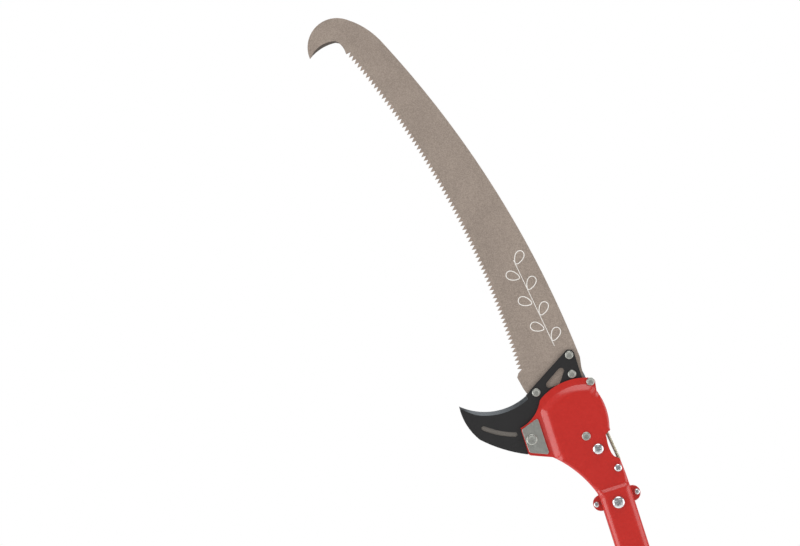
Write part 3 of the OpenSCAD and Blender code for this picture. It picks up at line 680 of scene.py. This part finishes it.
def blade_paint(x, z):
    """0 is the plated face, 1 the ground hook and 2 the filed teeth."""
    if inside([(x, z)], crescent)[0]:
        return 1
    return 2 if inside([(x, z)], tooth_band)[0] else 0


plate("nickel_blade", blade_rings, [roots, throat_line], blade_face(-1), blade_face(1),
      [NICKEL, HOOK_EDGE, FILED], blade_paint, ("saw_blade",))

# The claw is ground from the front along its hollow cutting edge, and its face has a milled groove.
claw_rings = outline("hook_plate")
GROOVE_RIGHT = -70
groove = next(r for r in claw_rings[1:] if max(p[0] for p in r) < GROOVE_RIGHT)
claw_rings.remove(groove)
cut_c, cut_r = (-81.0, 184.8), 61.4
CUT_RIGHT = -55.5
CUT_OFF = 1.4
cut = sorted(p for p in claw_rings[0] if p[0] < CUT_RIGHT
             and abs(math.dist(p, cut_c) - cut_r) < CUT_OFF)

# Heights in front of the mid-plane, then the bevel's full width and the slope of the groove's wall.
CLAW_FACE, GROOVE_FACE, CLAW_BACK, CUT_FACE = 3.2, 1.9, 0.7, 0.95
BEVEL_WIDE = 3.8
GROOVE_WALL = 0.25


def bevel_at(p):
    """Width of the ground bevel, which narrows towards the claw's point."""
    return BEVEL_WIDE * min(1, 0.25 + math.dist(p, cut[0]) / 26)


grind_line = [pushed(p, cut_c, bevel_at(p)) for p in cut[1:]]
loop = np.array(groove)
step = np.roll(loop, -1, 0) - np.roll(loop, 1, 0)
inward = np.stack([-step[:, 1], step[:, 0]], 1) / np.linalg.norm(step, axis=1)[:, None]
if not inside([loop[0] + inward[0] * 0.2], groove)[0]:
    inward = -inward
groove_floor = [tuple(p) for p in loop + inward * GROOVE_WALL]
groove_shut = [*groove, groove[0]]
floor_shut = [*groove_floor, groove_floor[0]]


def claw_front(x, z):
    """Height of the claw's front face: thin at the cutting edge, lower on the groove's floor."""
    if nearest((x, z), cut)[1] < SAME:
        return -CUT_FACE
    on_floor = nearest((x, z), groove_floor)[1] < SAME
    return -GROOVE_FACE if on_floor else -CLAW_FACE


def claw_paint(x, z):
    """0 is painted, 1 the ground bevel and 2 the milled groove."""
    if inside([(x, z)], groove_floor)[0]:
        return 2
    ground = x < CUT_RIGHT and math.dist((x, z), cut_c) - cut_r < 0.97 * bevel_at((x, z))
    return 1 if ground else 0


plate("black_claw", claw_rings, [grind_line, groove_shut, floor_shut], claw_front,
      lambda x, z: -CLAW_BACK, [BLACK, GROUND, BARE], claw_paint, ("hook_plate",))

# ---------------------------------------------------------------- printed mark
# A plain sprig of outlined leaves, screen-printed in white ink on the front of the blade, along its
# back edge near the foot.


PRINT_Y = -0.73
LINE_WIDE = 0.8


def stroke(points, verts, faces):
    """Adds a flat printed line along a closed run of points."""
    ring = np.array(points)
    step = np.roll(ring, -1, 0) - np.roll(ring, 1, 0)
    side = np.stack([-step[:, 1], step[:, 0]], 1) / np.linalg.norm(step, axis=1)[:, None]
    side *= LINE_WIDE / 2
    first, n = len(verts), len(ring)
    for p, q in zip(ring, side):
        verts += [at(p[0] + q[0], PRINT_Y, p[1] + q[1]), at(p[0] - q[0], PRINT_Y, p[1] - q[1])]
    for i in range(n):
        k = (i + 1) % n
        faces.append([first + 2 * i, first + 2 * i + 1, first + 2 * k + 1, first + 2 * k])


LEAVES = 7
FIRST_LEAF, LEAF_STEP = Vector((-25.5, 256)), Vector((1.9, -14))
STEM = [(-25.9, 262), (-25.3, 262), (-12.6, 168), (-13.2, 168)]
LEAF_STALK, LEAF_LONG, LEAF_HALF = 2, 14, 4.2
STEM_ANGLE, LEAF_ANGLE = 98, 48
verts, faces = [], []
for i in range(LEAVES):
    root = FIRST_LEAF + LEAF_STEP * i
    lean = math.radians(STEM_ANGLE + (LEAF_ANGLE if i % 2 else -LEAF_ANGLE))
    along = Vector((math.cos(lean), math.sin(lean)))
    across = Vector((-along.y, along.x))
    leaf = []
    for t in np.linspace(0, 2 * math.pi, 29)[:-1]:
        reach = LEAF_STALK + LEAF_LONG * (0.5 - 0.5 * math.cos(t))
        width = LEAF_HALF * math.sin(t) * (1 - 0.3 * math.cos(t))
        leaf.append(tuple(root + along * reach + across * width))
    stroke(leaf, verts, faces)
first = len(verts)
verts += [at(x, PRINT_Y, z) for x, z in STEM]
faces.append([first + i for i in range(4)])
solid("printed_sprig", verts, faces, [INK], "saw_carrier")

# ---------------------------------------------------------------- rivets
# Zinc-plated steel rivets, set by a rolling head that leaves a flat crown with a raised rim. They
# hold the blade to its plates, stop the carrier, close the dome and hold the guide plates.
HEAD_CREASE = 50
SHANK_STEPS = 24
BLADE_RIVETS = [(-1.7, 154.8), (-4.8, 135.7), (-44.5, 129.1)]
GUIDE_RIVET = (-63, 85.7)


def band(first, j, steps, faces):
    """Adds the faces between one ring of points and the next."""
    for i in range(steps):
        k = (i + 1) % steps
        near, far = first + j * steps, first + (j + 1) * steps
        faces.append([near + i, near + k, far + k, far + i])


def turned(profile, centre, y, side, verts, faces, steps=40):
    """Adds a turned head on the plane y; profile is radius and height in mm, rim to middle."""
    first = len(verts)
    for r, h in profile:
        for i in range(steps):
            a = 2 * math.pi * i / steps
            x, z = centre[0] + r * math.cos(a), centre[1] + r * math.sin(a)
            verts.append(at(x, side * (y + h), z))
    for j in range(len(profile) - 1):
        band(first, j, steps, faces)
    faces.append([first + (len(profile) - 1) * steps + i for i in range(steps)])
    faces.append([first + i for i in reversed(range(steps))])


def rivets(name, node, centres, y, r, height, body, shank, dimple=False):
    """A set of rivets with heads on both faces, at y from the mid-plane; shank is its radius."""
    verts, faces = [], []
    crown = [(r * 0.97, -0.05), (r, height * 0.25), (r * 0.99, height * 0.55),
             (r * 0.92, height * 0.86), (r * 0.8, height), (r * 0.66, height * 0.98),
             (r * 0.6, height * 0.86)]
    if dimple:
        crown += [(r * 0.3, height * 0.84), (r * 0.22, height * 0.4), (0.05, height * 0.3)]
    else:
        crown += [(r * 0.3, height * 0.84), (0.05, height * 0.82)]
    for c in centres:
        for side in (-1, 1):
            turned(crown, c, y, side, verts, faces)
        turned([(shank, -y + 0.05), (shank, y - 0.02)], c, 0, 1, verts, faces, SHANK_STEPS)
    piece = solid(name, verts, faces, [ZINC], body, replaced=(node,))
    set_normals(piece, HEAD_CREASE)


rivets("set_blade_rivets", "blade_rivets", BLADE_RIVETS, y=CLAW_FACE, r=4.2, height=1.45,
       body="saw_carrier", shank=2.5)
rivets("set_stop_rivet", "stop_rivet", [STOP_RIVET], y=FLANGE_Y, r=4.2, height=1.7,
       body="head_section", shank=3.0)
rivets("set_dome_rivet", "dome_rivet", [DOME_RIVET], y=DOME_Y, r=4.35, height=1.4,
       body="head_section", shank=3.0, dimple=True)
rivets("set_guide_rivet", "guide_rivet", [GUIDE_RIVET], y=7.2, r=5.5, height=1.5,
       body="head_section", shank=2.0)

# ---------------------------------------------------------------- cross-recessed bolts
# Cold-headed steel bolts, bright zinc plated, with a cross-shaped recess struck in the pan head.
# Each passes through both pressings to a nut at the back.


# The cross in head radii: half an arm's width, its reach, and how far the sides and ends slope.
ARM_HALF, ARM_REACH = 0.15, 0.56
ARM_SIDE, ARM_END = 0.05, 0.14
CROSS_DEEP = 0.62
SHANK_END, SHANK_CHAMFER = 0.45, 0.4


def recess(x, z):
    """How deep the cross is at a place, in head radii: 0 outside it and 1 at its floor."""
    arms = []
    for u, v in ((x, z), (z, x)):
        wide = np.clip((ARM_HALF - abs(u)) / ARM_SIDE, 0, 1)
        far = np.clip((ARM_REACH - abs(v)) / ARM_END, 0, 1)
        arms.append(wide * far)
    return max(arms)


def back_of(node):
    """How far a bolt reaches behind the mid-plane, in mm."""
    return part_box(node)[1].y / MM - SHANK_END


def bolts(name, node, centres, face_y, r, height, shank, turn):
    """Pan-head bolts whose heads sit on face_y; turn is how far the cross is turned, in radians."""
    back_y = back_of(node)
    verts, faces = [], []
    rings, steps = [*np.linspace(0.03, 0.6, 15), 0.68, 0.76, 0.84, 0.9, 0.95, 0.985, 1.0, 1.0], 64
    for c in centres:
        first = len(verts)
        for j, share in enumerate(rings):
            for i in range(steps):
                a = 2 * math.pi * i / steps
                x, z = share * math.cos(a), share * math.sin(a)
                rise = height * (0.3 + 0.7 * math.sqrt(max(0, 1 - share**3.2)))
                u = x * math.cos(turn) - z * math.sin(turn)
                v = x * math.sin(turn) + z * math.cos(turn)
                rise -= CROSS_DEEP * height * recess(u, v)
                if j == len(rings) - 1:
                    rise = -0.02
                verts.append(at(c[0] + r * x, -face_y - rise, c[1] + r * z))
        for j in range(len(rings) - 1):
            band(first, j, steps, faces)
        faces.append([first + i for i in reversed(range(steps))])
        faces.append([first + (len(rings) - 1) * steps + i for i in range(steps)])
        stem = [(shank, -face_y), (shank, back_y), (shank * 0.8, back_y + SHANK_CHAMFER),
                (0.05, back_y + SHANK_END)]
        turned(stem, c, 0, 1, verts, faces, SHANK_STEPS)
    piece = solid(name, verts, faces, [BRIGHT], "head_section", replaced=(node,))
    set_normals(piece, HEAD_CREASE)


SPRING_BOLT = (10.2, 32.8)
HEAD_BOLT = (-2.9, 56.8)
EAR_SCREW_X = 21
bolts("cross_neck_bolt", "neck_bolt", [(0, 0)], SOCKET_Y, r=6.2, height=3.6, shank=3.0, turn=0.6)
bolts("cross_head_bolt", "head_bolt", [HEAD_BOLT], DOME_Y, r=5.5, height=3.3, shank=2.9, turn=0.2)
bolts("cross_spring_bolt", "spring_bolt", [SPRING_BOLT], DOME_Y,
      r=3.9, height=2.6, shank=1.7, turn=1.0)
bolts("cross_ear_screws", "ear_screws", [(-EAR_SCREW_X, EAR_Z), (EAR_SCREW_X, EAR_Z)], SHEET,
      r=3.0, height=2.1, shank=1.6, turn=0.4)

# ---------------------------------------------------------------- return spring
# A close-wound tension spring of drawn wire, hooked over the small bolt and over the post on the
# claw plate. It pulls the saw back, and stretches as the saw swings; here it is one fixed mesh.
SPRING_Y = -5.8
WIRE_R, COIL_R, COIL_PITCH = 0.4, 1.4, 0.98
COIL_STEPS, WIRE_SIDES = 14, 8
SPRING_POST = (6, 88)
BOLT_HOOK_R, POST_HOOK_R = 4.8, 2.4
BOLT_LEAD, POST_LEAD = 7, 6
bottom = Vector((SPRING_BOLT[0] + BOLT_HOOK_R, SPRING_BOLT[1]))
top_end = Vector((SPRING_POST[0] + POST_HOOK_R, SPRING_POST[1]))
axis = (top_end - bottom).normalized()
across = Vector((axis.y, -axis.x))
coil_from, coil_to = bottom + axis * BOLT_LEAD, top_end - axis * POST_LEAD
turns = round((coil_to - coil_from).length / COIL_PITCH)
steps = turns * COIL_STEPS
path = [(x, SPRING_Y, z) for x, z in arc(SPRING_BOLT, BOLT_HOOK_R, -270, 0, 21)]
for i in range(steps + 1):
    t = i / steps
    a = 2 * math.pi * turns * t
    r = COIL_R * min(1, i / COIL_STEPS, (steps - i) / COIL_STEPS)
    mid = coil_from + (coil_to - coil_from) * t
    out = across * r * math.cos(a)
    path.append((mid.x + out.x, SPRING_Y + r * math.sin(a), mid.y + out.y))
path += [(x, SPRING_Y, z) for x, z in arc(SPRING_POST, POST_HOOK_R, 0, 270, 17)]
verts, faces = [], []
for i, p in enumerate(path):
    a, b = Vector(path[max(0, i - 1)]), Vector(path[min(len(path) - 1, i + 1)])
    turn = (b - a).to_track_quat("Z", "Y")
    for k in range(WIRE_SIDES):
        ang = 2 * math.pi * k / WIRE_SIDES
        q = Vector(p) + turn @ Vector((WIRE_R * math.cos(ang), WIRE_R * math.sin(ang), 0))
        verts.append(at(*q))
    if i:
        band(0, i - 1, WIRE_SIDES, faces)
faces.append(list(reversed(range(WIRE_SIDES))))
faces.append([(len(path) - 1) * WIRE_SIDES + k for k in range(WIRE_SIDES)])
mesh = bpy.data.meshes.new("wound_spring")
mesh.from_pydata([tuple(v) for v in verts], [], faces)
mesh.materials.append(WIRE)
mesh.polygons.foreach_set("use_smooth", [True] * len(mesh.polygons))
coil = bpy.data.objects.new("wound_spring", mesh)
bpy.context.scene.collection.objects.link(coil)
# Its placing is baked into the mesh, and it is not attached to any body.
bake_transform(coil)
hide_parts("return_spring")

# ---------------------------------------------------------------- floor, light and camera
# A sheet of pale paper under a hanging tool, with soft panels at both sides, above and behind. The
# lens is long, looks square at the head from the front, and leans with it.
FLOOR_M = 5
PAPER_GLOW, PAPER_SEEN = 0.4, 0.72
SKY_LIGHT, SKY_SEEN = 0.34, 1.0
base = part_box("end_cap")[0].z
corners = [(x * FLOOR_M, y * FLOOR_M, base) for x, y in ((-1, -1), (1, -1), (1, 1), (-1, 1))]
mesh = bpy.data.meshes.new("pale_floor")
mesh.from_pydata(corners, [], [[0, 1, 2, 3]])
floor = bpy.data.objects.new("pale_floor", mesh)
bpy.context.scene.collection.objects.link(floor)
paper = finish_of("pale_paper", "f0f0ee", "f6f6f4",
                  rough=(0.7, 0.8), grain_mm=2.0, bump_mm=0.01)
sheet_skin = paper.node_tree.nodes["Principled BSDF"]
sheet_skin.inputs["Emission Color"].default_value = (1, 1, 1, 1)
seen = put(paper.node_tree, "LightPath").outputs["Is Camera Ray"]
glow = put(paper.node_tree, "MapRange", {"Value": seen, "To Min": PAPER_GLOW, "To Max": PAPER_SEEN})
paper.node_tree.links.new(glow.outputs["Result"], sheet_skin.inputs["Emission Strength"])
floor.data.materials.append(paper)

world = bpy.data.worlds.new("studio")
bpy.context.scene.world = world
world.use_nodes = True
sky = world.node_tree
seen = put(sky, "LightPath").outputs["Is Camera Ray"]
level = put(sky, "MapRange", {"Value": seen, "To Min": SKY_LIGHT, "To Max": SKY_SEEN})
sky.links.new(level.outputs["Result"], sky.nodes["Background"].inputs["Strength"])
sky.nodes["Background"].inputs["Color"].default_value = (1, 1, 1, 1)
bpy.context.scene.view_settings.view_transform = "Standard"

LEAN_DEG = 17.8
LEAN = math.radians(LEAN_DEG)
TARGET = at(-137.6, 0, 284.4)
right = Vector((math.cos(LEAN), 0, -math.sin(LEAN)))
up = Vector((math.sin(LEAN), 0, math.cos(LEAN)))
away = Vector((0, -1, 0))


def panel(name, across_m, up_m, front_m, size, power):
    """A square soft box that faces the saw head."""
    lamp = bpy.data.lights.new(name, "AREA")
    lamp.size = size
    lamp.energy = power
    holder = bpy.data.objects.new(name, lamp)
    holder.location = TARGET + right * across_m + up * up_m + away * front_m
    holder.visible_camera = False
    holder.rotation_euler = (TARGET - holder.location).to_track_quat("-Z", "Y").to_euler()
    bpy.context.scene.collection.objects.link(holder)


panel("left_panel", across_m=-1.4, up_m=-0.3, front_m=0.5, size=1.7, power=27)
panel("top_panel", across_m=0.1, up_m=1.6, front_m=0.5, size=1.5, power=18)
panel("right_panel", across_m=1.4, up_m=0.0, front_m=0.35, size=1.3, power=10)
panel("rear_panel", across_m=0.5, up_m=0.7, front_m=-1.5, size=1.2, power=16)

lens = bpy.data.cameras.new("long_lens")
SENSOR_MM = 36
DISTANCE = 5.0
VIEW_WIDE = 0.8
lens.sensor_width = SENSOR_MM
lens.lens = SENSOR_MM * DISTANCE / VIEW_WIDE
lens.clip_end = 50
camera = bpy.data.objects.new("long_lens", lens)
turn = Matrix((right, up, away)).transposed()
camera.matrix_world = Matrix.Translation(TARGET + away * DISTANCE) @ turn.to_4x4()
bpy.context.scene.collection.objects.link(camera)
bpy.context.scene.camera = camera
